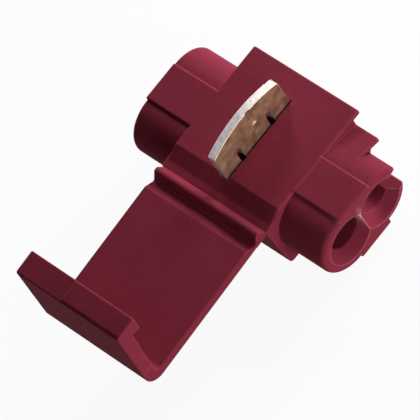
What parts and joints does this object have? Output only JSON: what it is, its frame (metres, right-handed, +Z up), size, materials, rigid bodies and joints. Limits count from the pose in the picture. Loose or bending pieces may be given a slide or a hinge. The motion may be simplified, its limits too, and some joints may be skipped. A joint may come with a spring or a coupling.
{
  "type": "quick-splice wire connector",
  "caption": "Squeeze-on splice connector: moulded block with a closed tap channel, an open-sided run channel, a slotted contact plate and a hinged hook lid.",
  "frame": {"origin": "middle of the block's underside, midway between the two barrels' axes", "axes": "+X along the wire channels, out of the end where both wires enter; +Y towards the side that the hook snaps over; +Z up, towards the raised contact"},
  "size_m": [0.0198, 0.0254, 0.0123],
  "materials": {
    "moulding": "satin moulded polypropylene",
    "contact_plate": "tin-plated stamped brass"
  },
  "bodies": {
    "housing": {"housing": "moulding"},
    "hinge_link": {"hinge_link": "moulding"},
    "lid": {"lid": "moulding"},
    "contact": {"contact": "contact_plate"}
  },
  "joints": [
    {"name": "hinge_a", "type": "hinge", "parent": "housing", "child": "hinge_link", "pos_m": [0, -0.00525, 0.00555], "axis": [-1, 0, 0], "range_deg": [0, 91.95]},
    {"name": "hinge_b", "type": "hinge", "parent": "hinge_link", "child": "lid", "pos_m": [0, -0.0065, 0.00538], "axis": [-1, 0, 0], "range_deg": [0, 91.95]},
    {"name": "contact_slide", "type": "slide", "parent": "housing", "child": "contact", "axis": [0, 0, 1], "range_m": [-0.0036, 0]}
  ],
  "couplings": [
    {"joint": "hinge_a", "follows": "contact_slide", "rad_per_m": -445.79},
    {"joint": "hinge_b", "follows": "contact_slide", "rad_per_m": -445.79}
  ]
}
